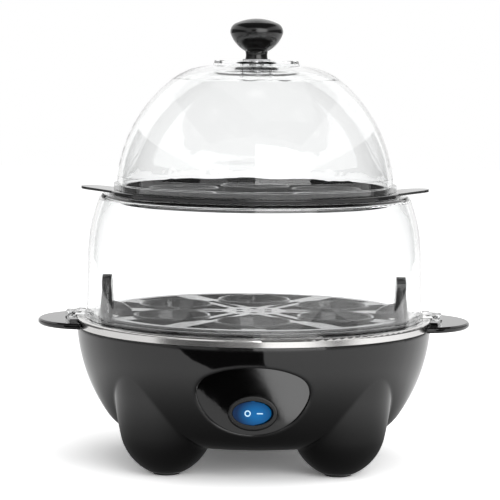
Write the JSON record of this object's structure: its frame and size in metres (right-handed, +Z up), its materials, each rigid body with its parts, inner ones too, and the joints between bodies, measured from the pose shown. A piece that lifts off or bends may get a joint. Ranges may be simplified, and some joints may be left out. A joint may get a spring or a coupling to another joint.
{
  "type": "egg boiler",
  "caption": "Two-tier electric egg cooker: black bowl base on legs with a lit rocker switch, steel water plate, clear barrel and lid, two lift-out trays and side grips.",
  "frame": {"origin": "on the surface that the feet stand on, on the axis of the bowl", "axes": "+Z up, -Y towards the side with the switch, X through the two grips"},
  "size_m": [0.2342, 0.1924, 0.2387],
  "materials": {
    "gloss_black": "moulded, high gloss",
    "tray_black": "moulded, satin",
    "clear_plastic": "clear moulded plastic, polished",
    "plate_steel": "pressed stainless steel with a polished rim",
    "seal_rubber": "soft silicone",
    "spreader_aluminium": "cast, plain",
    "element_steel": "dull sheath",
    "tab_brass": "plain",
    "thermostat_ceramic": "unglazed",
    "fuse_ceramic": "unglazed",
    "sheet_steel": "zinc plated",
    "screw_steel": "zinc plated",
    "bezel_black": "satin",
    "switch_black": "satin",
    "bush_black": "satin",
    "block_white": "plain",
    "lead_brown": "insulation",
    "lead_blue": "insulation",
    "cover_black": "fine grain",
    "pad_rubber": "soft rubber",
    "lens_blue": "translucent lens, lit from behind",
    "lamp_blue": "clear lamp"
  },
  "bodies": {
    "base": {"heating_plate": "plate_steel", "plate_seal": "seal_rubber", "heat_spreader": "spreader_aluminium", "heating_element": "element_steel", "element_terminals": "tab_brass", "thermostat": "thermostat_ceramic", "thermostat_clip": "sheet_steel", "clip_screws": "screw_steel", "thermal_fuse": "fuse_ceramic", "fuse_clip": "sheet_steel", "plate_bridge": "sheet_steel", "bridge_nuts": "screw_steel", "bridge_screws": "screw_steel", "base_housing": "gloss_black", "control_panel": "gloss_black", "switch_bezel": "bezel_black", "switch_body": "switch_black", "switch_terminals": "tab_brass", "switch_lamp": "lamp_blue", "cord_bush": "bush_black", "bush_nut": "bush_black", "terminal_block": "block_white", "buzzer": "switch_black", "feed_lead": "lead_brown", "lamp_lead": "lead_blue", "bottom_cover": "cover_black", "cover_screws": "screw_steel", "foot_pads": "pad_rubber"},
    "rocker": {"switch_rocker": "lens_blue"},
    "lower_tray": {"lower_tray": "tray_black"},
    "barrel": {"lower_dome": "clear_plastic", "grip_left": "gloss_black", "grip_right": "gloss_black", "grip_screws": "screw_steel"},
    "upper_tray": {"upper_tray": "tray_black"},
    "lid": {"lid_dome": "clear_plastic", "lid_knob": "gloss_black", "knob_washer": "seal_rubber", "knob_screw": "screw_steel"}
  },
  "joints": [
    {"name": "rocker_tilt", "type": "hinge", "parent": "base", "child": "rocker", "pos_m": [0, -0.07543, 0.03758], "axis": [0, 0.1392, 0.9903], "range_deg": [0, 14]},
    {"name": "lower_tray_lift", "type": "slide", "parent": "base", "child": "lower_tray", "axis": [0, 0, 1], "range_m": [0, 0.045]},
    {"name": "barrel_lift", "type": "slide", "parent": "lower_tray", "child": "barrel", "axis": [0, 0, 1], "range_m": [0, 0.06]},
    {"name": "upper_tray_lift", "type": "slide", "parent": "barrel", "child": "upper_tray", "axis": [0, 0, 1], "range_m": [0, 0.04]},
    {"name": "lid_lift", "type": "slide", "parent": "upper_tray", "child": "lid", "axis": [0, 0, 1], "range_m": [0, 0.06]}
  ]
}
